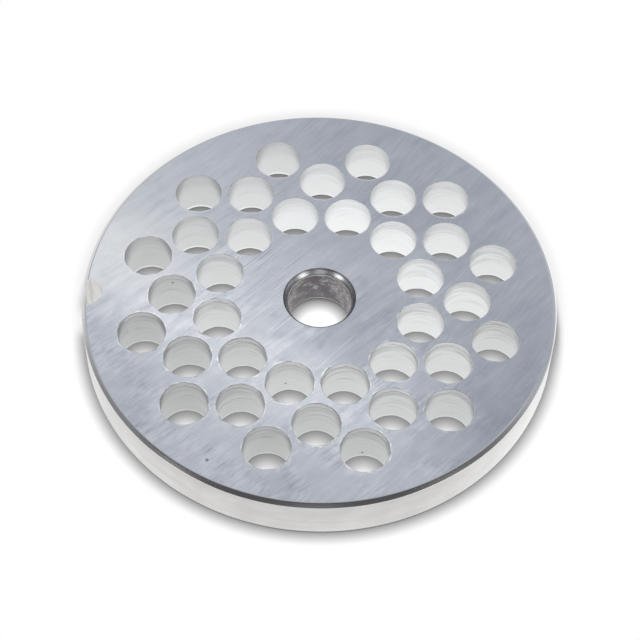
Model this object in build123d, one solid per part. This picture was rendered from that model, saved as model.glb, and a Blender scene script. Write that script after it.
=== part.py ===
from build123d import *
from math import cos, pi, radians, sin, sqrt
import os

# Meat grinder plate, number 32, coarse: a hardened steel disc, ground flat on both
# faces, through which the knife pushes the meat. One piece with no joints.
#
# Frame: millimetres, +Z up along the bore. The origin is the centre of the bore on
# the lower face, so the plate lies on Z = 0. The locating notch points to -X.

# Disc
plate_diameter = 98.4
plate_thickness = 10.8
rim_chamfer = 0.8

# Bore that runs on the stud of the feed screw
bore_diameter = 13.2
bore_chamfer = 1.0

# Mincing holes: rings of equally many holes, each ring turned by half a step from
# the one inside it, so that every hole nests between two holes of that ring
hole_diameter = 9.8
web = 1.4                  # least steel left between two neighbouring holes
holes_per_ring = 12

# Round-bottomed locating notch in the rim, for the key in the grinder's head
notch_width = 6.0
notch_depth = 4.1          # from the rim in to the bottom of the notch
notch_angle = 180.0        # degrees from +X, in line with a hole of the second ring

# Worked out from the above
plate_radius = plate_diameter / 2
bore_radius = bore_diameter / 2
hole_radius = hole_diameter / 2
hole_pitch = hole_diameter + web
ring_step = 2 * pi / holes_per_ring
rim_land = notch_depth + web


def disc_profile():
    """Half section of the disc in XZ, from the bore to the rim, both chamfered."""
    section = [
        (bore_radius + bore_chamfer, 0),
        (plate_radius - rim_chamfer, 0),
        (plate_radius, rim_chamfer),
        (plate_radius, plate_thickness - rim_chamfer),
        (plate_radius - rim_chamfer, plate_thickness),
        (bore_radius + bore_chamfer, plate_thickness),
        (bore_radius, plate_thickness - bore_chamfer),
        (bore_radius, bore_chamfer),
    ]
    return Plane.XZ * Polygon(*section, align=None)


def ring_radii():
    """Radii of the hole rings, from the hub out to the plain land at the rim.

    Holes of the first ring lie one pitch apart. Each further ring lies one pitch
    from the holes that it nests between, for as long as the land stays whole.
    """
    half_step = ring_step / 2
    outermost = plate_radius - rim_land - hole_radius
    radii = []
    radius = hole_pitch / (2 * sin(half_step))
    while radius <= outermost:
        radii.append(radius)
        sideways = radius * sin(half_step)
        if sideways >= hole_pitch:
            break
        radius = radius * cos(half_step) + sqrt(hole_pitch**2 - sideways**2)
    return radii


def hole_centres():
    """Centres of all mincing holes; the second ring has a hole at the notch angle."""
    centres = []
    for ring, radius in enumerate(ring_radii()):
        turn = radians(notch_angle) + (ring - 1) * ring_step / 2
        for hole in range(holes_per_ring):
            angle = turn + hole * ring_step
            centres.append((radius * cos(angle), radius * sin(angle)))
    return centres


def notch_cutter():
    """The steel that the notch takes away: a slot, open at the rim, with a round end."""
    end_radius = notch_width / 2
    end_centre = plate_radius - notch_depth + end_radius
    outline = Pos(end_centre, 0) * Circle(end_radius)
    outline += Pos(end_centre + notch_depth / 2, 0) * Rectangle(notch_depth, notch_width)
    return Rot(0, 0, notch_angle) * extrude(outline, plate_thickness)


def grinder_plate():
    """The whole plate: turned disc, mincing holes and locating notch."""
    disc = revolve(disc_profile(), Axis.Z)

    drill = extrude(Circle(hole_radius), plate_thickness)
    drills = [Pos(x, y, 0) * drill for x, y in hole_centres()]
    return disc - drills - notch_cutter()


plate = grinder_plate()
plate.label = "grinder_plate"

os.makedirs("parts", exist_ok=True)
export_step(plate, "parts/grinder_plate.step")
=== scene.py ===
from math import atan2, cos, hypot, pi, radians, sin, sqrt

import bmesh
import bpy
import numpy as np
from mathutils import Matrix, Vector


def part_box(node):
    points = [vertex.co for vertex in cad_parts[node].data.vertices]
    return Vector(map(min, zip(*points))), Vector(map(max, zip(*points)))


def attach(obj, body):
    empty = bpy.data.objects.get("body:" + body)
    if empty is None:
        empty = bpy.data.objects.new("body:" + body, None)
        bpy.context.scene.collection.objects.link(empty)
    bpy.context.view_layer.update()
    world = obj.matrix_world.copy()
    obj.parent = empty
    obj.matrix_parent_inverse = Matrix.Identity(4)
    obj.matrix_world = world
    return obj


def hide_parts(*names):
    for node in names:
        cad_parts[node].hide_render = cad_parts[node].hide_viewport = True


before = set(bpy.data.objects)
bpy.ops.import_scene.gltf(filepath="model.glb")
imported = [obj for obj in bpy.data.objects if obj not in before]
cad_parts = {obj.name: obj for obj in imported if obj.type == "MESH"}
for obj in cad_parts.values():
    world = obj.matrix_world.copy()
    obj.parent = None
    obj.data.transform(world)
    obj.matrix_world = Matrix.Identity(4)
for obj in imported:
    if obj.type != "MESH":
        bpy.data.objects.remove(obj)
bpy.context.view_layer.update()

# ---------------------------------------------------------------------------------------
# The eye: a camera with a long lens that stands in front of the plate and looks down on
# its upper face, a touch out of level.
# ---------------------------------------------------------------------------------------
lens_length = 109.085
sensor_width = 36.0
eye_distance = 0.39863
eye_elevation = radians(55.874)
eye_tilt = radians(1.393)
aim_point = Vector((0.00020, -0.00566, 0.0108))
nearest_seen = 0.02
farthest_seen = 20.0

eye_data = bpy.data.cameras.new("eye")
eye_data.lens = lens_length
eye_data.sensor_width = sensor_width
eye_data.clip_start = nearest_seen
eye_data.clip_end = farthest_seen
eye = bpy.data.objects.new("eye", eye_data)
bpy.context.scene.collection.objects.link(eye)
line_of_sight = Vector((0.0, cos(eye_elevation), -sin(eye_elevation)))
stand = Matrix.Translation(aim_point - line_of_sight * eye_distance)
lean = Matrix.Rotation(pi / 2 - eye_elevation, 4, "X")
eye.matrix_world = stand @ lean @ Matrix.Rotation(eye_tilt, 4, "Z")
bpy.context.scene.camera = eye
bpy.context.scene.view_settings.view_transform = "Standard"

# ---------------------------------------------------------------------------------------
# The blank: a disc of tool steel, sawn from bar, turned all round and chamfered on both
# rims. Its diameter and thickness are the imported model's, and the rest is cut into it.
# ---------------------------------------------------------------------------------------
blank_low, blank_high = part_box("grinder_plate")
plate_radius = (blank_high.y - blank_low.y) / 2
plate_top = blank_high.z
rim_chamfer = 0.0008
lower_chamfer_height = 0.0006
corner_rounds = (0.00020, 0.00010, 0.00010, 0.00020)
corner_steps = 4


def soften(profile, rounds):
    """The profile (radius, height) with each inner corner rounded off over its own length in rounds.

    The curve is the sum of its two ends and the corner, weighted by (1-t)^2, t^2 and 2t(1-t).
    """
    profile = np.asarray(profile, float)
    corner = profile[1:-1, None]
    back = profile[:-2, None] - corner
    ahead = profile[2:, None] - corner
    rounds = np.reshape(rounds, (-1, 1, 1))
    back = corner + rounds * back / np.linalg.norm(back, axis=2, keepdims=True)
    ahead = corner + rounds * ahead / np.linalg.norm(ahead, axis=2, keepdims=True)
    t = np.linspace(0, 1, corner_steps + 1)[:, None]
    return (back * (1 - t) ** 2 + 2 * corner * t * (1 - t) + ahead * t ** 2).reshape(-1, 2)


rim_profile = soften([(0, plate_top), (plate_radius - rim_chamfer, plate_top),
                      (plate_radius, plate_top - rim_chamfer), (plate_radius, lower_chamfer_height),
                      (plate_radius - rim_chamfer, 0), (0, 0)], corner_rounds)
face_edge = rim_profile[0, 0]

# ---------------------------------------------------------------------------------------
# The notch: one U-shaped slot milled down through the rim with an end mill, so that a pin
# in the grinder's head keeps the plate from turning. It lies in line with a middle hole,
# and the mill left upright streaks on its wall.
# ---------------------------------------------------------------------------------------
notch_direction = pi
notch_radius = 0.0030
notch_centre = 0.0481
quarter_steps = 8

half_turns = np.linspace(-pi / 2, -3 * pi / 2, 2 * quarter_steps + 1)
slot_round = np.stack([notch_centre + notch_radius * np.cos(half_turns),
                       notch_radius * np.sin(half_turns)], axis=-1)


def notch_rim(radius):
    """Distance along the notch's axis at which its straight side meets the circle of this radius."""
    return np.sqrt(radius ** 2 - notch_radius ** 2)


def turned(x, y, z, turn):
    """Points at x along and y across the direction turn, at height z."""
    return np.stack(np.broadcast_arrays(x * np.cos(turn) - y * np.sin(turn),
                                        x * np.sin(turn) + y * np.cos(turn), z), axis=-1)


# the plate's surfaces are kept as grids of points until it is put together
(GROUND_FACE, TURNED_CHAMFER, TURNED_RIM, DRILLED_WALL, HOLE_EDGE,
 REAMED_BORE, BORE_CHAMFER, MILLED_NOTCH) = range(8)
plain_tone = 0.5
far_from_holes = 9.0
cut_points = []
cut_quads = []
cut_surface = []
cut_tone = []
cut_clear = []


def add_grid(points, surface, wall_light_and_tone=plain_tone, clear=far_from_holes, round_trip=False):
    """Keeps grids shaped (..., rows, columns, 3) as quads between neighbouring rows and columns.

    With round_trip the last column joins the first. surface is one number for each strip
    between two rows, or one for all. The next argument, the brightness of a hole's wall as
    painted light with a little random tone, and clear, the distance from the nearest hole in
    millimetres, are spread over the points.
    """
    grids = points.reshape((-1,) + points.shape[-3:])
    count, rows, columns = grids.shape[:3]
    start = sum(len(kept) for kept in cut_points)
    number = start + np.arange(count * rows * columns).reshape(count, rows, columns)
    beside = np.roll(number, -1, axis=2)
    last = columns if round_trip else columns - 1
    quads = np.stack([number[:, :-1, :last], beside[:, :-1, :last],
                      beside[:, 1:, :last], number[:, 1:, :last]], axis=-1)
    cut_points.append(grids.reshape(-1, 3))
    cut_quads.append(quads.reshape(-1, 4))
    strip = np.broadcast_to(np.asarray(surface), (rows - 1,))[None, :, None]
    cut_surface.append(np.broadcast_to(strip, quads.shape[:3]).reshape(-1))
    cut_tone.append(np.broadcast_to(wall_light_and_tone, number.shape).reshape(-1))
    cut_clear.append(np.broadcast_to(clear, number.shape).reshape(-1))


mouth = notch_rim(rim_profile[:, :1])
ones = np.ones_like(mouth)
slot_along = np.concatenate([mouth, ones * slot_round[None, :, 0], mouth], axis=1)
slot_across = np.concatenate([-ones * notch_radius, ones * slot_round[None, :, 1],
                              ones * notch_radius], axis=1)
add_grid(turned(slot_along, slot_across, rim_profile[:, 1:], notch_direction), MILLED_NOTCH)


class Shade:
    """One socket of a node tree. Sums, products and powers of it add their Math nodes to the tree."""

    def __init__(self, tree, socket):
        self.tree = tree
        self.socket = socket

    def node(self, kind, settings=None, inputs=None, take=0):
        """Adds a node of this kind, its settings first, then values or links for its sockets.

        It gives the output that take names or numbers, or the node itself where it has none.
        """
        added = self.tree.nodes.new(kind)
        for name, value in (settings or {}).items():
            setattr(added, name, value)
        for name, value in (inputs or {}).items():
            if isinstance(value, Shade):
                self.tree.links.new(value.socket, added.inputs[name])
            else:
                added.inputs[name].default_value = value
        return Shade(self.tree, added.outputs[take]) if added.outputs else added

    def work(self, operation, first, second):
        """The result of one Math node on two values or sockets."""
        return self.node("ShaderNodeMath", {"operation": operation}, {0: first, 1: second})

    def __add__(self, other):
        return self.work("ADD", self, other)

    def __radd__(self, other):
        return self.work("ADD", other, self)

    def __sub__(self, other):
        return self.work("SUBTRACT", self, other)

    def __rsub__(self, other):
        return self.work("SUBTRACT", other, self)

    def __mul__(self, other):
        return self.work("MULTIPLY", self, other)

    def __rmul__(self, other):
        return self.work("MULTIPLY", other, self)

    def __pow__(self, other):
        return self.work("POWER", self, other)


to_millimetres = 1000


def finish_start(name):
    """A new material with an empty tree, and the piece's Object coordinates in millimetres."""
    material = bpy.data.materials.new(name)
    material.use_nodes = True
    material.node_tree.nodes.clear()
    place = Shade(material.node_tree, None).node("ShaderNodeTexCoord", take="Object")
    return material, stretch(place, (to_millimetres, to_millimetres, to_millimetres))


def stretch(place, scale, turn=0.0):
    """Coordinates turned about the plate's axis, then scaled."""
    spun = place.node("ShaderNodeVectorRotate", {"rotation_type": "Z_AXIS"},
                      {"Vector": place, "Angle": turn})
    return place.node("ShaderNodeMapping", {"vector_type": "POINT"}, {"Vector": spun, "Scale": scale})


def grain(place, detail=3.0, rough=0.55):
    """Smooth noise from 0 to 1, about one grain for each unit of place."""
    return place.node("ShaderNodeTexNoise", {"noise_dimensions": "3D"},
                      {"Vector": place, "Scale": 1.0, "Detail": detail, "Roughness": rough})


def ease(value, low, high, first=0.0, last=1.0):
    """Smooth step from first to last while value goes from low to high."""
    return value.node("ShaderNodeMapRange", {"interpolation_type": "SMOOTHSTEP", "clamp": True},
                      {"Value": value, "From Min": low, "From Max": high, "To Min": first, "To Max": last})


def tint(share, first, second):
    """The colour that goes from first to second as share goes from 0 to 1."""
    share_in, first_in, second_in, colour_out = 0, 6, 7, 2
    return share.node("ShaderNodeMix", {"data_type": "RGBA"},
                      {share_in: share, first_in: first, second_in: second}, take=colour_out)


def finish_end(place, colour, roughness, metallic, dents, depth):
    """Steel of this colour, roughness and share of bare metal, with dents up to depth metres deep."""
    bump = place.node("ShaderNodeBump", None, {"Strength": 1.0, "Distance": depth, "Height": dents})
    steel = place.node("ShaderNodeBsdfPrincipled", None, {
        "Base Color": colour, "Roughness": roughness, "Metallic": metallic, "Normal": bump})
    place.node("ShaderNodeOutputMaterial", None, {"Surface": steel})


def milled_notch():
    """The notch's wall, with the upright streaks of the end mill."""
    streak_grain = (2.2, 2.2, 0.12)
    dull_steel = (0.78, 0.76, 0.72, 1.0)
    bright_steel = (1.0, 0.99, 0.97, 1.0)
    material, place = finish_start("milled_notch")
    upright = grain(stretch(place, streak_grain))
    colour = tint(ease(upright, low=0.3, high=0.7), dull_steel, bright_steel)
    finish_end(place, colour, roughness=0.4, metallic=0.6, dents=upright, depth=0.000020)
    return material


# ---------------------------------------------------------------------------------------
# The mincing holes: three rings of twelve, drilled and reamed straight through, one web
# apart, each ring stepped half a pitch. The drills left fine rings and shallow ledges and
# tore the mouths a little. Each hole is one grid, with its own share of both faces.
# ---------------------------------------------------------------------------------------
hole_radius = 0.0049
web = 0.0014
holes_per_ring = 12
pitch = 2 * hole_radius + web
half_step = pi / holes_per_ring
first_ring = pitch / (2 * sin(half_step))


def next_ring(radius):
    """Radius of the ring whose holes lie one pitch from two neighbours on the ring of this radius."""
    across = radius * sin(half_step)
    return radius * cos(half_step) + sqrt(pitch ** 2 - across ** 2)


second_ring = next_ring(first_ring)
third_ring = next_ring(second_ring)
ring_radii = (first_ring, second_ring, third_ring)

hub_corner = radians(150)
web_corner = radians(75)
hub_reach = first_ring * sin(half_step) / sin(hub_corner - half_step)
hub_radius = hypot(first_ring + hub_reach * cos(hub_corner), hub_reach * sin(hub_corner))
rim_corner = atan2(face_edge * sin(half_step), face_edge * cos(half_step) - third_ring)


def face_share(ring, turn):
    """Outline of the face round a hole, as points seen from it, along each direction from outwards.

    It runs to the nearest of the lines half way to the neighbours, the rim and the hub circle.
    """
    radius = ring_radii[ring]
    other, step = np.meshgrid(range(3), (-1, 0, 1), indexing="ij")
    away = 2 * half_step * step + (other - ring) * half_step
    outwards = np.asarray(ring_radii)[other] * np.cos(away) - radius
    across = np.asarray(ring_radii)[other] * np.sin(away)
    apart = np.hypot(outwards, across).ravel()
    bearing = np.arctan2(across, outwards).ravel()[apart > web]
    towards = np.cos(turn[:, None] - bearing)
    reach = (apart[apart > web] / 2 / np.maximum(towards, web)).min(axis=1)
    sideways = (radius * np.sin(turn)) ** 2
    if ring == 2:
        reach = np.minimum(reach, np.sqrt(face_edge ** 2 - sideways) - radius * np.cos(turn))
    if ring == 0:
        hub = np.sqrt(np.maximum(hub_radius ** 2 - sideways, 0)) + radius * np.cos(turn)
        inwards = (np.cos(turn) < 0) & (hub_radius ** 2 > sideways)
        reach = np.where(inwards, np.minimum(reach, -hub), reach)
    return np.stack([reach * np.cos(turn), reach * np.sin(turn)], axis=-1)


def both_sides(plus, minus):
    """Closes a half outline on the plus side with the mirror image of the other half outline."""
    return np.concatenate([plus, minus[-2:0:-1] * (1, -1)], axis=0)


even_steps = 36
rim_steps = 16
side_steps = 6
inner_steps = 21
bow_steps = 11
tie_steps = 2
even_half = np.linspace(0, pi, even_steps + 1)
outer_half = np.concatenate([np.linspace(0, rim_corner, rim_steps + 1),
                             np.linspace(rim_corner, web_corner, side_steps + 1)[1:],
                             np.linspace(web_corner, pi, inner_steps + 1)[1:]])
plain_half = face_share(2, outer_half)

# the two outer holes beside the notch share the face up to its wall and its axis
hole_to_notch = np.array([third_ring * cos(half_step), -third_ring * sin(half_step)])
notch_corner = np.array([notch_rim(face_edge), -notch_radius]) - hole_to_notch
slot_side = slot_round[:quarter_steps + 1] - hole_to_notch
web_end = float(np.hypot(*(plain_half[rim_steps + side_steps] + (third_ring, 0))))
slot_end = np.array([notch_centre - notch_radius, 0.0])
tie = np.linspace(slot_end, (web_end, 0.0), tie_steps + 1)[1:] - hole_to_notch
bow = atan2(notch_corner[1], notch_corner[0]) + half_step
notch_half = np.concatenate([face_share(2, np.linspace(0, bow, bow_steps + 1)),
                             turned(slot_side[:, 0], slot_side[:, 1], 0, half_step)[:, :2],
                             turned(tie[:, 0], tie[:, 1], 0, half_step)[:, :2],
                             face_share(2, outer_half[rim_steps + side_steps + 1:])])

# how badly a hole is torn: more with each metre to the front and to the left
middle_torn = 0.6
torn_to_front = 14
torn_to_left = 4
least_torn = 0.25
most_torn = 1.4
# the ledges: where they lie, as shares of the thickness from the top, and their sizes
ledges = 5
ledge_height = 0.00009
shallowest_ledge = 0.000008
deepest_ledge = 0.000030
highest_ledge = 0.06
lowest_ledge = 0.88
even_share = 0.4
clean_ledge = 0.25
inward_share = 0.7
most_askew = 0.00022
middle_spread = 0.45
spread_swing = 0.8
# the mouth's broken edge: its width, the waves in that width, and its section
edge_break = 0.00011
fewest_waves = 2
most_waves = 14
raggedness = 0.34
narrowest_break = 0.3
widest_break = 2.4
near_share = 0.55
plain_break = 0.6
torn_break = 0.7
break_section = ((1.0, 0.0), (0.3, 0.3), (0.0, 1.0))
# the exit at the bottom, which is tighter on the holes further back
exit_lip = 0.00022
exit_height = 0.0008
tight_in_middle = 0.2
back_rate = 30
# painted light on the walls: brightest at one place in plan and falling off by this much for each
# metre, with a little random scatter from hole to hole
brightest_wall_x = 0.0124
brightest_wall_y = 0.0154
brightest_wall_light = 1.086
wall_light_fall = 9.7
wall_tone_scatter = 0.02
# how far clear is raised on the far side of a back hole's mouth, away from the painted highlight
far_side_clear = 0.25
wear_seed = 32
rng = np.random.default_rng(wear_seed)
outlines = []

for ring, radius in enumerate(ring_radii):
    if ring < 2:
        half = face_share(ring, even_half)
        outline = np.repeat(both_sides(half, half)[None], holes_per_ring, axis=0)
    else:
        outline = np.repeat(both_sides(plain_half, plain_half)[None], holes_per_ring, axis=0)
        outline[0] = both_sides(plain_half, notch_half)
        outline[-1] = both_sides(notch_half, plain_half)
    one_row = (holes_per_ring, 1, outline.shape[1])
    heading = notch_direction + (ring - 1) * half_step + 2 * half_step * np.arange(holes_per_ring)
    middle_x = radius * np.cos(heading)
    middle_y = radius * np.sin(heading)
    turn = np.arctan2(outline[..., 1], outline[..., 0])
    outlines.append(turned(outline[..., 0] + radius, outline[..., 1], 0, heading[:, None]))
    torn = np.clip(middle_torn - torn_to_front * middle_y - torn_to_left * middle_x, least_torn, most_torn)

    # each ledge steps the wall in or out over part of its round, and lies a little askew
    each_ledge = (holes_per_ring, ledges)
    depth = np.sort(rng.uniform(highest_ledge, lowest_ledge, each_ledge), axis=1) * (1 - even_share)
    depth = depth + np.linspace(highest_ledge, lowest_ledge, ledges) * even_share
    step_size = rng.uniform(shallowest_ledge, deepest_ledge, each_ledge) * (clean_ledge + torn[:, None])
    step_size = step_size * rng.choice((-1, 1), each_ledge, p=(inward_share, 1 - inward_share))
    facing = rng.uniform(-pi, pi, each_ledge)[..., None]
    askew = rng.uniform(0, most_askew, each_ledge)[..., None]
    spread = np.clip(middle_spread + spread_swing * np.cos(turn[:, None] - facing), 0, 1)
    step_out = step_size[..., None] * spread
    ledge_at = (plate_top * (1 - depth))[..., None] + askew * np.sin(turn[:, None] - facing)
    above = np.cumsum(step_out[:, ::-1], axis=1)[:, ::-1]
    below = np.concatenate([above[:, 1:], np.zeros_like(above[:, :1])], axis=1)

    # the edge's width is 1 plus a sum of cosines, times its size, more on the near side
    waves = np.arange(fewest_waves, most_waves + 1)[:, None, None]
    shift = rng.uniform(-pi, pi, (len(waves), holes_per_ring, 1))
    swell = rng.uniform(0, raggedness, (len(waves), holes_per_ring, 1))
    ragged = 1 + (swell * np.cos(waves * turn + shift)).sum(axis=0)
    near = 1 - np.sin(turn + heading[:, None]) * near_share
    wear = (plain_break + torn_break * torn)[:, None]
    broken = (edge_break * np.clip(ragged, narrowest_break, widest_break) * near * wear)[:, None]

    # rows of points from the face down through the mouth, the ledges and the exit to the back
    rounds = [np.hypot(outline[..., 0], outline[..., 1])[:, None]]
    heights = [np.full(one_row, plate_top)]
    for out, down in break_section:
        rounds.append(hole_radius + above[:, :1] + broken * out)
        heights.append(plate_top - broken * down)
    for ledge in range(ledges):
        here = slice(ledge, ledge + 1)
        rounds += [hole_radius + above[:, here], hole_radius + below[:, here]]
        heights += [ledge_at[:, here] + ledge_height / 2, ledge_at[:, here] - ledge_height / 2]
    tight = exit_lip * np.clip(tight_in_middle + back_rate * middle_y, 0, 1)[:, None, None]
    rounds.append(np.full(one_row, hole_radius))
    heights.append(np.full(one_row, exit_height))
    for out, up in reversed(break_section):
        rounds.append(hole_radius + broken * out - tight)
        heights.append(broken * up)
    rounds.append(rounds[0])
    heights.append(np.zeros(one_row))
    rounds = np.concatenate([np.broadcast_to(row, one_row) for row in rounds], axis=1)
    heights = np.concatenate([np.broadcast_to(row, one_row) for row in heights], axis=1)
    hole = turned(radius + rounds * np.cos(turn[:, None]), rounds * np.sin(turn[:, None]),
                  heights, heading[:, None, None])
    strips = [GROUND_FACE, HOLE_EDGE, HOLE_EDGE] + [DRILLED_WALL] * (2 * ledges + 2)
    strips += [HOLE_EDGE, HOLE_EDGE, GROUND_FACE]

    # clear starts above 0 on the far side of a back hole, which keeps the face's painted highlight
    # to the near side of its mouth
    # each wall's painted light comes from its distance to the brightest place, plus a little random tone
    bright = brightest_wall_light - wall_light_fall * np.hypot(middle_x - brightest_wall_x, middle_y - brightest_wall_y)[:, None, None]
    bright = bright + rng.normal(0, wall_tone_scatter, (holes_per_ring, 1, 1))
    far = far_side_clear * (1 + np.sin(turn + heading[:, None])) * np.clip(back_rate * middle_y, 0, 1)[:, None]
    clear = np.zeros_like(rounds)
    clear[:, 0] = (rounds[:, 0] - rounds[:, 1]) * to_millimetres
    clear[:, -1] = (rounds[:, -1] - rounds[:, -2]) * to_millimetres
    clear[:, :2] += far[:, None]
    add_grid(hole, strips, wall_light_and_tone=bright, clear=clear, round_trip=True)


def along(place, axis):
    """The coordinate along one axis, in the units of place."""
    ends = place.node("ShaderNodeSeparateXYZ", None, {0: place}).socket.node.outputs
    return Shade(place.tree, ends[axis])


def slant(place, right, back):
    """How far a point lies in a slanting direction, as right times its x plus back times its y."""
    return along(place, 0) * right + along(place, 1) * back


def own(place, name):
    """The value that the piece's attribute of this name has here."""
    return place.node("ShaderNodeAttribute", {"attribute_name": name}, take="Fac")


def ball(place, centre, reach):
    """1 at this centre in the piece, falling smoothly to 0 at reach from it, all in millimetres."""
    full_share = 0.3
    apart = place.node("ShaderNodeVectorMath", {"operation": "DISTANCE"},
                       {0: place, 1: centre}, take="Value")
    return ease(apart, low=reach, high=reach * full_share)


def drilled_wall():
    """The wall of a hole: matt from the drill and ringed in its upper half, with painted light
    that is brightest at one place near the hub and dimmer further from it.

    How dull it is, is a sum. It rises a little with height and has broad clouds. Near the mouths of
    the front holes the drill chattered, which left a broken dark line with a lighter lip above it.
    Worn holes also have rings, arcs, flecks, and one change of shade at an uneven height. A
    painted highlight whitens the lowest edge of each wall, more on the holes further back.
    """
    black = (0.0, 0.0, 0.0, 1.0)
    white = (1.0, 1.0, 1.0, 1.0)
    soot = (0.12, 0.12, 0.12, 1.0)
    lit_wall_steel = (0.98, 0.995, 1.0, 1.0)
    dull_steel = (0.22, 0.225, 0.23, 1.0)
    specks = (((-6.6, -16.1, 2.6), 0.36), ((-30.9, 4.9, 7.9), 0.42),
              ((-41.2, -8.4, 8.4), 0.4), ((9.4, -31.3, 1.3), 0.4))
    broad_grain = (0.09, 0.09, 0.7)
    ring_grain = (0.13, 0.13, 2.8)
    gap_grain = (0.16, 0.16, 0.35)
    arc_grain = (0.12, 0.12, 1.3)
    fleck_grain = (1.6, 1.6, 1.6)
    band_grain = (0.06, 0.06, 0.0)
    lip_grain = (0.8, 0.8, 0.3)
    lowest_band = 3.2
    band_rise = 9.0
    lip_height = 9.35
    lip_sway = 1.6
    broad_share = 0.35
    ring_share = 0.42
    arc_share = 0.22
    fleck_share = 0.14
    band_share = 0.14
    dark_line_share = 0.34
    light_lip_share = 0.16
    speck_share = 0.8
    arc_depth = 0.5

    material, place = finish_start("drilled_wall")
    height = along(place, 2)
    # here this share weights only the marks of wear, stronger on the front holes
    wear_and_painted_light = ease(slant(place, right=0.2, back=-1.0), low=-30.0, high=8.0, first=0.25)
    upper = ease(height, low=2.0, high=6.0, first=0.15)
    broad = grain(stretch(place, broad_grain), detail=1.0)
    rings = ease(grain(stretch(place, ring_grain), detail=1.0), low=0.34, high=0.66)
    gaps = ease(grain(stretch(place, gap_grain), detail=1.0), low=0.42, high=0.58, first=0.3)
    arcs = ease(grain(stretch(place, arc_grain), detail=0.0), low=0.66, high=0.72)
    fleck = ease(grain(stretch(place, fleck_grain), detail=2.0), low=0.66, high=0.72)
    band_height = grain(stretch(place, band_grain), detail=1.0) * band_rise + lowest_band
    band = ease(height - band_height, low=-0.25, high=0.25) * band_share
    lip = height - lip_height + (grain(stretch(place, lip_grain)) - 0.5) * lip_sway
    near_side = ease(slant(place, right=0.3, back=1.0), low=4.0, high=-8.0)
    dark_line = ease(lip * lip, low=0.035, high=0.0) * dark_line_share
    chatter = (dark_line - ease(lip, low=0.15, high=0.45) * light_lip_share) * near_side
    dull = ease(height, low=4.0, high=10.8, last=0.10) + (broad - 0.5) * broad_share * upper + chatter
    marks = (rings - 0.5) * ring_share * upper * gaps + arcs * arc_share * upper + fleck * fleck_share
    dull = dull + (marks + band) * wear_and_painted_light
    # the points' value here is painted light, brightest at one place near the hub, with a little random tone
    colour = tint(own(place, "wall_light_and_tone"), black, lit_wall_steel)
    colour = tint(dull, colour, dull_steel)
    # painted highlight: the lowest edge of the wall is whitened, more on the holes further back
    exit_highlight_share = ease(along(place, 1), low=0.0, high=25.0, first=0.32, last=0.8)
    colour = tint(ease(height, low=0.60, high=0.30) * exit_highlight_share, colour, white)
    speck = [ball(place, centre, reach) for centre, reach in specks]
    colour = tint(sum(speck[1:], speck[0]) * speck_share, colour, soot)
    dents = rings * wear_and_painted_light - arcs * arc_depth * wear_and_painted_light
    finish_end(place, colour, roughness=0.30, metallic=0.92, dents=dents, depth=0.000012)
    return material


def hole_edge():
    """The broken edge of a hole, matt where the stone passed over it."""
    speck_grain = (1.1, 1.1, 1.1)
    dull_steel = (0.70, 0.71, 0.73, 1.0)
    white = (1.0, 1.0, 1.0, 1.0)
    material, place = finish_start("hole_edge")
    specks = grain(stretch(place, speck_grain))
    colour = tint(ease(specks, low=0.35, high=0.65), dull_steel, white)
    finish_end(place, colour, roughness=0.45, metallic=0.5, dents=specks, depth=0.000004)
    return material


# ---------------------------------------------------------------------------------------
# The rim: its turned wall and chamfers, carried round from one side of the notch to the
# other, through the points where the face's shares reach it. The lathe left fine rings.
# ---------------------------------------------------------------------------------------
outer = outlines[2]
walk = np.roll(outer, rim_steps, axis=1)
walk = np.concatenate([walk[0, rim_steps - bow_steps:2 * rim_steps],
                       walk[1:-1, :2 * rim_steps].reshape(-1, 3),
                       walk[-1, :rim_steps + bow_steps + 1]])
round_turn = np.mod(np.arctan2(walk[:, 1], walk[:, 0]) - notch_direction, 2 * pi)
round_turn = np.repeat(round_turn[None], len(rim_profile), axis=0)
round_turn[:, 0] = np.arcsin(notch_radius / rim_profile[:, 0])
round_turn[:, -1] = 2 * pi - round_turn[:, 0]
rim_grid = turned(rim_profile[:, :1] * np.cos(round_turn), rim_profile[:, :1] * np.sin(round_turn),
                  rim_profile[:, 1:], notch_direction)
half_corner = corner_steps // 2
chamfer_strips = [TURNED_CHAMFER] * (corner_steps + 1 + half_corner)
wall_strips = [TURNED_RIM] * (2 * half_corner + 1)
add_grid(rim_grid, chamfer_strips + wall_strips + chamfer_strips)


def turned_chamfer():
    """A chamfer left by the lathe tool, with the finest rings.

    On the right and the back it has painted light: it is darker, with a paler inner edge and a
    painted highlight along its outer corner.
    """
    ring_grain = (0.08, 0.08, 9.0)
    plain_steel = (0.62, 0.62, 0.62, 1.0)
    bright_steel = (0.74, 0.74, 0.73, 1.0)
    shaded_side_steel = (0.44, 0.45, 0.49, 1.0)
    inner_edge = (0.66, 0.68, 0.72, 1.0)
    corner_highlight_white = (0.97, 0.97, 0.96, 1.0)
    material, place = finish_start("turned_chamfer")
    height = along(place, 2)
    rings = grain(stretch(place, ring_grain))
    # painted light at the right and back: darker, a paler inner edge, a painted highlight on the corner
    side = ease(slant(place, right=0.8, back=0.6), low=18.0, high=38.0)
    colour = tint(rings, plain_steel, bright_steel)
    colour = tint(side, colour, shaded_side_steel)
    colour = tint(side * ease(height, low=10.62, high=10.76), colour, inner_edge)
    colour = tint(side * ease(height, low=10.32, high=10.16), colour, corner_highlight_white)
    finish_end(place, colour, roughness=0.19, metallic=1.0, dents=rings, depth=0.000005)
    return material


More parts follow.
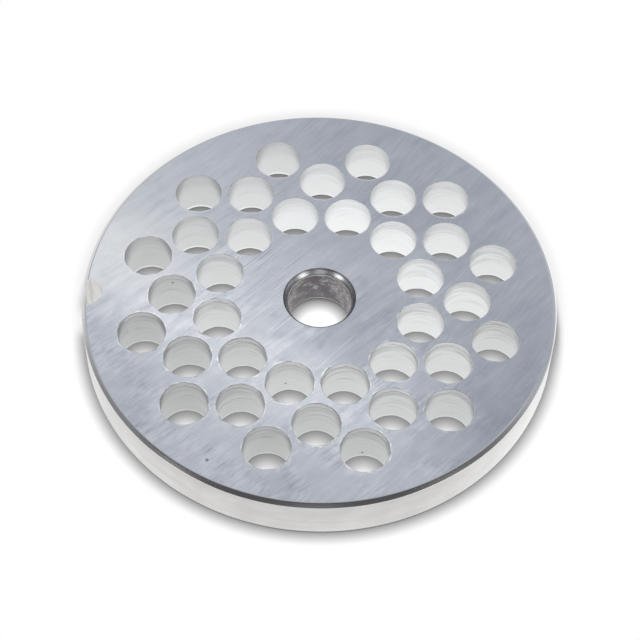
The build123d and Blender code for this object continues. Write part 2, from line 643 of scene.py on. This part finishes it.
def turned_rim():
    """The turned wall, with feed rings and a warm cast, and with painted light that makes it
    brighter low down, at the right and far left.
    """
    ring_grain = (0.05, 0.05, 3.0)
    band_grain = (0.06, 0.06, 0.5)
    cloud_grain = (0.16, 0.16, 0.25)
    ring_share = 0.30
    band_share = 0.30
    cloud_share = 0.45
    plain_shade = 0.22
    dull_steel = (0.53, 0.52, 0.51, 1.0)
    bright_steel = (0.96, 0.955, 0.95, 1.0)
    material, place = finish_start("turned_rim")
    rings = grain(stretch(place, ring_grain))
    band = grain(stretch(place, band_grain), detail=1.0)
    cloud = grain(stretch(place, cloud_grain))
    # painted light: the wall is brighter towards the right, at the far left and low down
    wear_and_painted_light = ease(slant(place, right=0.8, back=0.45), low=-10.0, high=38.0, last=0.80)
    wear_and_painted_light = wear_and_painted_light + ease(along(place, 0), low=-20.0, high=-50.0, last=0.25)
    wear_and_painted_light = wear_and_painted_light + ease(along(place, 2), low=10.0, high=1.0, last=0.14)
    shade = wear_and_painted_light + (rings - 0.5) * ring_share + (band - 0.5) * band_share
    shade = shade + (cloud - 0.5) * cloud_share + plain_shade
    colour = tint(shade, dull_steel, bright_steel)
    finish_end(place, colour, roughness=0.34, metallic=1.0, dents=rings, depth=0.000008)
    return material


# ---------------------------------------------------------------------------------------
# The bore: drilled, bored and reamed to run on the feed screw's stud, with a chamfer at
# both ends. The plain hub of the face lies between it and the inner ring of holes.
# ---------------------------------------------------------------------------------------
bore_radius = 0.0066
bore_chamfer = 0.00082
bore_chamfer_depth = 0.0012
bore_rounds = (0.00016, 0.00022, 0.00010, 0.00016)
bore_profile = soften([(hub_radius, plate_top), (bore_radius + bore_chamfer, plate_top),
                       (bore_radius, plate_top - bore_chamfer_depth), (bore_radius, bore_chamfer_depth),
                       (bore_radius + bore_chamfer, 0), (hub_radius, 0)], bore_rounds)
hub_start = round(even_steps * hub_corner / pi)
hub_walk = outlines[0][:, 2 * even_steps - hub_start:hub_start:-1].reshape(-1, 3)
bore_turn = np.arctan2(hub_walk[:, 1], hub_walk[:, 0])[None]
hub_profile = np.concatenate([[(hub_radius, plate_top)], bore_profile, [(hub_radius, 0)]])
edge_strips = [BORE_CHAMFER] * (2 * corner_steps + 1)
bore_grid = turned(hub_profile[:, :1] * np.cos(bore_turn), hub_profile[:, :1] * np.sin(bore_turn),
                   hub_profile[:, 1:], 0)
add_grid(bore_grid, [GROUND_FACE] + edge_strips + [REAMED_BORE] + edge_strips + [GROUND_FACE],
         round_trip=True)


def reamed_bore():
    """The bore's wall, stained brown-grey by grease, with paler patches rubbed by the stud.

    A patch lies where the stain's noise is high, a little raised upwards and towards the sides.
    """
    stain_grain = (0.45, 0.45, 0.55)
    fleck_grain = (1.3, 1.3, 1.9)
    ring_grain = (0.1, 0.1, 4.0)
    dark_stain = (0.16, 0.146, 0.158, 1.0)
    pale_stain = (0.235, 0.218, 0.23, 1.0)
    rubbed_steel = (0.52, 0.50, 0.51, 1.0)
    exit_highlight_steel = (0.5, 0.49, 0.48, 1.0)
    middle_height = 6.0
    more_upwards = 0.02
    more_to_right = 0.008
    more_to_sides = 0.0022
    plain_share = 0.15
    fleck_share = 0.85
    ring_depth = 0.5
    fleck_depth = 0.4
    material, place = finish_start("reamed_bore")
    x = along(place, 0)
    height = along(place, 2)
    stain = grain(stretch(place, stain_grain), detail=4.0, rough=0.65)
    flecks = ease(grain(stretch(place, fleck_grain), detail=4.0, rough=0.75), low=0.50, high=0.58)
    rings = grain(stretch(place, ring_grain), detail=2.0)
    patch = stain + (height - middle_height) * more_upwards + x * more_to_right + x * x * more_to_sides
    rubbed = ease(patch, low=0.49, high=0.57) * (plain_share + flecks * fleck_share)
    colour = tint(ease(stain, low=0.3, high=0.7), dark_stain, pale_stain)
    colour = tint(rubbed, colour, rubbed_steel)
    # painted highlight: the wall is lighter just above the exit
    colour = tint(ease(height, low=1.3, high=1.1, last=0.4), colour, exit_highlight_steel)
    dents = rings * ring_depth + flecks * fleck_depth
    finish_end(place, colour, roughness=0.40, metallic=0.8, dents=dents, depth=0.000012)
    return material


def bore_chamfer_steel():
    """The bore's chamfer, polished by the stud, with a painted dark line of shade along its outer
    edge, widest on the near side.
    """
    ring_grain = (0.12, 0.12, 5.0)
    dull_steel = (0.60, 0.60, 0.61, 1.0)
    bright_steel = (0.95, 0.95, 0.96, 1.0)
    painted_edge_shade = (0.07, 0.065, 0.08, 1.0)
    material, place = finish_start("bore_chamfer")
    rings = grain(stretch(place, ring_grain), detail=1.0)
    colour = tint(ease(rings, low=0.35, high=0.65), dull_steel, bright_steel)
    # painted shade: a dark line along the outer edge, widest on the near side
    thick = ease(along(place, 1), low=6.5, high=1.0, first=0.40, last=0.9)
    colour = tint(ease(along(place, 2), low=10.50, high=10.72) * thick, colour, painted_edge_shade)
    finish_end(place, colour, roughness=0.26, metallic=0.8, dents=rings, depth=0.000012)
    return material


# ---------------------------------------------------------------------------------------
# The ground faces: both ground in straight passes on a surface grinder once the holes
# were drilled. They bear the scratches, smudges and rubbed spots of use.
# ---------------------------------------------------------------------------------------


def distance(place, x, y):
    """Distance in plan from the point (x, y), in the units of place."""
    return place.node("ShaderNodeVectorMath", {"operation": "DISTANCE"},
                      {0: stretch(place, (1.0, 1.0, 0.0)), 1: (x, y, 0.0)}, take="Value")


def spot(place, x, y, reach):
    """1 at the point (x, y) of the face, falling smoothly to 0 at reach from it, all in millimetres."""
    return ease(distance(place, x, y), low=reach, high=0.0)


def scored(place, x, y, turn, length, width):
    """1 along a fine straight line of this length and width that starts at (x, y) and runs along turn."""
    fade_in = 1.5
    fade_out = 3.0
    line = place.node("ShaderNodeVectorRotate", {"rotation_type": "Z_AXIS"},
                      {"Vector": place, "Center": (x, y, 0.0), "Angle": -turn})
    run = along(line, 0) - x
    off = along(line, 1) - y
    ends = ease(run, low=0.0, high=fade_in) * ease(run, low=length, high=length - fade_out)
    return ease(off * off, low=width * width, high=0.0) * ends


def streaks(place, size, turn=0.0, detail=1.0):
    """Noise from 0 to 1, with size grains to the millimetre along and across the direction turn."""
    lengthwise, crosswise = size
    return grain(stretch(place, (lengthwise, crosswise, 1.0), turn), detail)


def ground_face():
    """Steel ground in straight passes: long soft streaks, finer lines, scratches and smudges.

    Its brightness is a sum of the streaks of the passes, which are strong where the face is worn,
    of clouds, scratches and smudges, and of a slow change across the face. Painted glints of torn
    steel and of a chip lie round the mouths of the holes, with a painted highlight along the near
    edge of the back holes' mouths.
    """
    pass_turn = radians(-42)
    steep_turn = radians(-58)
    scratch_turn = radians(-46)
    patch_size = (0.13, 0.13)
    broad_size = (0.07, 0.50)
    streak_size = (0.22, 1.2)
    fine_size = (0.40, 3.6)
    steep_size = (0.14, 1.6)
    cloud_size = (0.05, 0.05)
    mottle_size = (0.30, 0.30)
    line_size = (0.07, 5.2)
    group_size = (0.05, 0.45)
    stray_size = (0.10, 2.6)
    crumb_size = (0.9, 0.9)
    fringe_size = (0.45, 0.45)
    dark_steel = (0.41, 0.435, 0.495, 1.0)
    light_steel = (0.77, 0.79, 0.83, 1.0)
    pale_steel = (0.74, 0.75, 0.75, 1.0)
    painted_glint_white = (0.97, 0.97, 0.96, 1.0)
    pit_black = (0.10, 0.10, 0.11, 1.0)

    # where each scratch starts, its direction, length, width and strength
    scratches = ((-19.5, 0.2, radians(45), 20.0, 0.16, 0.9), (-14.5, -4.5, radians(46), 10.0, 0.16, 0.8),
                 (-1.5, -19.0, radians(48), 15.0, 0.15, 0.8))
    # where each smudge or change of level lies, how far it reaches and how strong it is
    smudges = ((-36.0, -22.0, 15.0, 1.0), (-6.0, -44.0, 15.0, 0.8),
               (13.0, -42.0, 10.0, 0.6), (-46.0, -12.0, 9.0, 1.2))
    levels = ((44.0, -10.0, 22.0, -0.05), (36.0, -27.0, 22.0, -0.18), (7.0, -9.0, 17.0, -0.18),
              (-22.0, 34.0, 22.0, 0.15), (-46.0, -5.0, 14.0, -0.18))
    # single spots: where each lies and how far it reaches
    busy_hub = (-15.0, 3.0, 17.0)
    chip = (-37.3, -5.0, 0.9)
    pale_patch = (-41.0, 12.0, 22.0)
    pit = (-21.25, -39.4, 0.55)

    # how much of each mark goes into the brightness, first where worn and then everywhere
    worn_broad = 0.5
    worn_streak = 0.45
    worn_fine = 0.6
    worn_mottle = 0.5
    broad_share = 0.2
    cloud_share = 0.45
    mottle_share = 0.15
    steep_share = 0.18
    scratch_share = 0.3
    stray_share = 0.22
    crumb_share = 0.13
    smudge_share = 0.06
    smudge_streak_share = 0.5
    light_lines_on_hub = 2.3
    light_lines_elsewhere = 0.35
    dark_lines_on_hub = 2.0
    crumb_fall = 0.16
    fringe_fall = 0.5
    torn_glint = 0.7
    plain_glint = 0.12
    back_glint = 0.75
    pale_share = 0.75
    pit_share = 0.9
    plain_roughness = 0.18
    fine_roughness = 0.10
    fine_depth = 0.7
    scratch_depth = 0.5
    stray_depth = 0.4

    material, place = finish_start("ground_face")
    x = along(place, 0)
    y = along(place, 1)
    clear = own(place, "clear")
    wear = ease(slant(place, right=-0.45, back=-0.7), low=-26.0, high=20.0, first=0.12)
    wear = wear * ease(x, low=18.0, high=38.0, first=1.0, last=0.45)
    patch = ease(streaks(place, patch_size, detail=2.0), low=0.40, high=0.60, first=0.2, last=1.15)
    broad = streaks(place, broad_size, pass_turn) - 0.5
    streak = streaks(place, streak_size, pass_turn) - 0.5
    fine = streaks(place, fine_size, pass_turn) - 0.5
    steep = streaks(place, steep_size, steep_turn) - 0.5
    cloud = streaks(place, cloud_size, detail=2.0) - 0.5
    mottle = streaks(place, mottle_size, detail=3.0) - 0.5

    hub = spot(place, *busy_hub)
    lines = streaks(place, line_size, scratch_turn, detail=0.0)
    group = ease(streaks(place, group_size, scratch_turn), low=0.42, high=0.60, first=0.15)
    light_lines = ease(lines, low=0.58, high=0.68) * (hub * light_lines_on_hub + light_lines_elsewhere)
    dark_lines = ease(lines, low=0.42, high=0.32) * hub * dark_lines_on_hub
    scratch = (light_lines - dark_lines) * group
    for start_x, start_y, turn, length, width, strength in scratches:
        scratch = scratch + scored(place, start_x, start_y, turn, length, width) * strength
    stray = ease(streaks(place, stray_size, steep_turn), low=0.70, high=0.78)
    stray = stray * ease(x, low=5.0, high=30.0, first=0.15)

    torn = ease(slant(place, right=-0.25, back=-1.0), low=-9.0, high=9.0) * ease(x, low=30.0, high=12.0)
    crumbs = streaks(place, crumb_size, detail=3.0) - clear * crumb_fall
    crumbs = ease(crumbs, low=0.38, high=0.66) * torn
    fringe = streaks(place, fringe_size, detail=2.0) - clear * fringe_fall
    # painted glints round the torn mouths and on a chip, and a painted highlight near the back holes
    glint = ease(fringe, low=0.47, high=0.56) * ease(clear, low=0.55, high=0.20)
    glint = glint * (torn * torn_glint + plain_glint) + spot(place, *chip)
    glint = glint + ease(clear, low=0.30, high=0.14) * ease(y, low=6.0, high=24.0) * back_glint

    marks = broad * worn_broad + streak * worn_streak + fine * worn_fine + mottle * worn_mottle
    marks = marks * wear * patch + broad * broad_share + cloud * cloud_share + mottle * mottle_share
    marks = marks + steep * (1.0 - wear) * steep_share + scratch * scratch_share + stray * stray_share
    smudge = [spot(place, at_x, at_y, reach) * strength for at_x, at_y, reach, strength in smudges]
    smudge = sum(smudge[1:], smudge[0])
    marks = marks - smudge * (smudge_share + broad * smudge_streak_share)
    marks = marks + ease(x, low=28.0, high=-34.0, first=0.01, last=0.14) + crumbs * crumb_share
    for at_x, at_y, reach, level in levels:
        marks = marks + spot(place, at_x, at_y, reach) * level
    colour = tint(ease(marks, low=-0.5, high=0.5), dark_steel, light_steel)
    colour = tint(spot(place, *pale_patch) * pale_share, colour, pale_steel)
    colour = tint(glint, colour, painted_glint_white)
    colour = tint(spot(place, *pit) * pit_share, colour, pit_black)
    roughness = plain_roughness + fine * fine_roughness * wear
    dents = (streak + fine * fine_depth) * wear * patch - scratch * scratch_depth - stray * stray_depth
    finish_end(place, colour, roughness, metallic=1.0, dents=dents, depth=0.0000018)
    return material


# ---------------------------------------------------------------------------------------
# The finished plate: all its cut surfaces welded into one closed piece of steel, each
# surface with its own finish.
# ---------------------------------------------------------------------------------------
weld_distance = 0.000001
crease = radians(22)
finishes = {GROUND_FACE: ground_face, TURNED_CHAMFER: turned_chamfer, TURNED_RIM: turned_rim,
            DRILLED_WALL: drilled_wall, HOLE_EDGE: hole_edge, REAMED_BORE: reamed_bore,
            BORE_CHAMFER: bore_chamfer_steel, MILLED_NOTCH: milled_notch}

plate_mesh = bpy.data.meshes.new("steel_plate")
plate_mesh.from_pydata(np.concatenate(cut_points), [], np.concatenate(cut_quads))
for surface in sorted(finishes):
    plate_mesh.materials.append(finishes[surface]())
plate_mesh.polygons.foreach_set("material_index", np.concatenate(cut_surface).astype(np.int32))
plate_mesh.attributes.new("wall_light_and_tone", "FLOAT", "POINT").data.foreach_set("value", np.concatenate(cut_tone))
plate_mesh.attributes.new("clear", "FLOAT", "POINT").data.foreach_set("value", np.concatenate(cut_clear))
welder = bmesh.new()
welder.from_mesh(plate_mesh)
bmesh.ops.remove_doubles(welder, verts=welder.verts, dist=weld_distance)
bmesh.ops.recalc_face_normals(welder, faces=welder.faces)
welder.to_mesh(plate_mesh)
welder.free()
plate_mesh.shade_smooth()
plate_mesh.set_sharp_from_angle(angle=crease)
plate = bpy.data.objects.new("steel_plate", plate_mesh)
bpy.context.scene.collection.objects.link(plate)
flat_faces = plate.modifiers.new("flat_faces", "WEIGHTED_NORMAL")
flat_faces.keep_sharp = True
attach(plate, "root")
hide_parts("grinder_plate")

# ---------------------------------------------------------------------------------------
# The floor: a white sheet that keeps the plate's shadow close in. The shadow is the share
# of the sky that the plate hides, and two soft discs set off behind it and to its right.
# ---------------------------------------------------------------------------------------
floor_half = 1.5
floor_drop = -0.00005
shadow_reach = 0.0031
hole_shadow_reach = 0.0045
sky_samples = 16
shadow_depth = 1.5
back_hole_share = 0.62
cast_centre = 7.5
cast_radius = 49.8
cast_softness = 3.8
cast_depth = 0.15
side_x = 1.1
side_y = 0.5
side_radius = 49.1
side_softness = 1.3
side_depth = 0.42
paper_white = (0.92, 0.92, 0.92, 1.0)
shadow_black = (0.02, 0.02, 0.02, 1.0)
white = (1.0, 1.0, 1.0, 1.0)

floor_mesh = bpy.data.meshes.new("floor")
floor_mesh.from_pydata([(-floor_half, -floor_half, floor_drop), (floor_half, -floor_half, floor_drop),
                        (floor_half, floor_half, floor_drop), (-floor_half, floor_half, floor_drop)],
                       [], [(0, 1, 2, 3)])
floor = bpy.data.objects.new("floor", floor_mesh)
bpy.context.scene.collection.objects.link(floor)


def open_share(place, reach):
    """The share of the sky that nothing closer than reach, in metres, hides from the floor."""
    return place.node("ShaderNodeAmbientOcclusion", {"samples": sky_samples}, {"Distance": reach}, take="AO")


floor_sheet, place = finish_start("floor_sheet")
ray = place.node("ShaderNodeLightPath").socket.node.outputs
seen = Shade(place.tree, ray["Is Camera Ray"])
mirrored = Shade(place.tree, ray["Is Glossy Ray"])
passed = Shade(place.tree, ray["Is Transmission Ray"])
paper = place.node("ShaderNodeBsdfDiffuse", None, {"Color": paper_white})
from_axis = distance(place, 0.0, 0.0)
back = along(place, 1)
under = ease(from_axis, low=7.5, high=9.0) * ease(from_axis, low=48.8, high=48.2)
deep = open_share(place, hole_shadow_reach) ** shadow_depth
deep = deep * ease(back, low=-5.0, high=40.0, first=1.0, last=back_hole_share)
behind = ease(distance(place, 0.0, cast_centre), low=cast_radius + cast_softness, high=cast_radius,
              last=cast_depth)
beside = ease(distance(place, side_x, side_y), low=side_radius + side_softness, high=side_radius,
              last=side_depth)
cast = (behind + beside * ease(back, low=-12.0, high=4.0)) * ease(from_axis, low=48.8, high=49.2)
near = open_share(place, shadow_reach) ** shadow_depth * (1.0 - cast)
light = near * (1.0 - under) + deep * under
shaded = place.node("ShaderNodeEmission", None, {"Color": tint(light, shadow_black, white), "Strength": 1.0})
glow = place.node("ShaderNodeEmission", None, {"Color": white, "Strength": 1.0})
sheet = place.node("ShaderNodeMixShader", None, {0: mirrored, 1: paper, 2: glow})
sheet = place.node("ShaderNodeMixShader", None, {0: passed, 1: sheet, 2: glow})
sheet = place.node("ShaderNodeMixShader", None, {0: seen, 1: sheet, 2: shaded})
place.node("ShaderNodeOutputMaterial", None, {"Surface": sheet})
floor_mesh.materials.append(floor_sheet)

# ---------------------------------------------------------------------------------------
# The studio: bright and even behind and above the plate and dark in front, with a pale
# wall straight ahead, two small windows low at the sides and one soft lamp at the back.
# ---------------------------------------------------------------------------------------
open_side = (0.12, 0.8, 0.35)
dark_room = (0.105, 0.105, 0.11, 1.0)
bright_room = (0.575, 0.595, 0.635, 1.0)
wall_grey = (0.55, 0.55, 0.57, 1.0)
window_white = (2.1, 2.1, 2.1, 1.0)
left_wall_share = 0.4
right_wall_share = 0.2

studio = bpy.data.worlds.new("studio")
studio.use_nodes = True
studio.node_tree.nodes.clear()
bpy.context.scene.world = studio
direction = Shade(studio.node_tree, None).node("ShaderNodeTexCoord")
openness = direction.node("ShaderNodeVectorMath", {"operation": "DOT_PRODUCT"},
                          {0: direction, 1: open_side}, take="Value")


def lobe(x, y, z, reach):
    """1 in the direction (x, y, z) and 0 at reach from it, where directions are one apart at 60 degrees."""
    full_share = 0.4
    apart = direction.node("ShaderNodeVectorMath", {"operation": "DISTANCE"},
                           {0: direction, 1: (x, y, z)}, take="Value")
    return ease(apart, low=reach, high=reach * full_share)


front_wall = lobe(0.0, -0.97, 0.18, 0.36)
left_window = lobe(-0.80, -0.60, 0.08, 0.30)
right_window = lobe(0.74, -0.66, 0.06, 0.32)
side_walls = lobe(-0.96, 0.0, 0.28, 0.5) * left_wall_share + lobe(0.96, -0.10, 0.28, 0.5) * right_wall_share
dome = tint(ease(openness, low=-0.06, high=0.36) + side_walls, dark_room, bright_room)
dome = tint(front_wall, dome, wall_grey)
dome = tint(left_window, dome, window_white)
dome = tint(right_window, dome, window_white)
dome = tint(direction.node("ShaderNodeLightPath", take="Is Camera Ray"), dome, white)
sky = direction.node("ShaderNodeBackground", None, {"Color": dome, "Strength": 1.0})
direction.node("ShaderNodeOutputWorld", None, {"Surface": sky})

lamp_place = (-0.090, 0.471, 0.703)
lamp_width = 0.05
lamp_length = 0.37
lamp_turn = radians(51)
lamp_brightness = 0.85
lamp_colour = (1.0, 0.965, 0.92)
lamp_data = bpy.data.lights.new("bar_lamp", "AREA")
lamp_data.shape = "RECTANGLE"
lamp_data.size = lamp_width
lamp_data.size_y = lamp_length
lamp_data.energy = lamp_brightness * pi * lamp_width * lamp_length
lamp_data.color = lamp_colour
lamp = bpy.data.objects.new("bar_lamp", lamp_data)
bpy.context.scene.collection.objects.link(lamp)
at_plate = Vector(lamp_place).to_track_quat("Z", "Y").to_matrix().to_4x4()
lamp.matrix_world = Matrix.Translation(lamp_place) @ at_plate @ Matrix.Rotation(lamp_turn, 4, "Z")
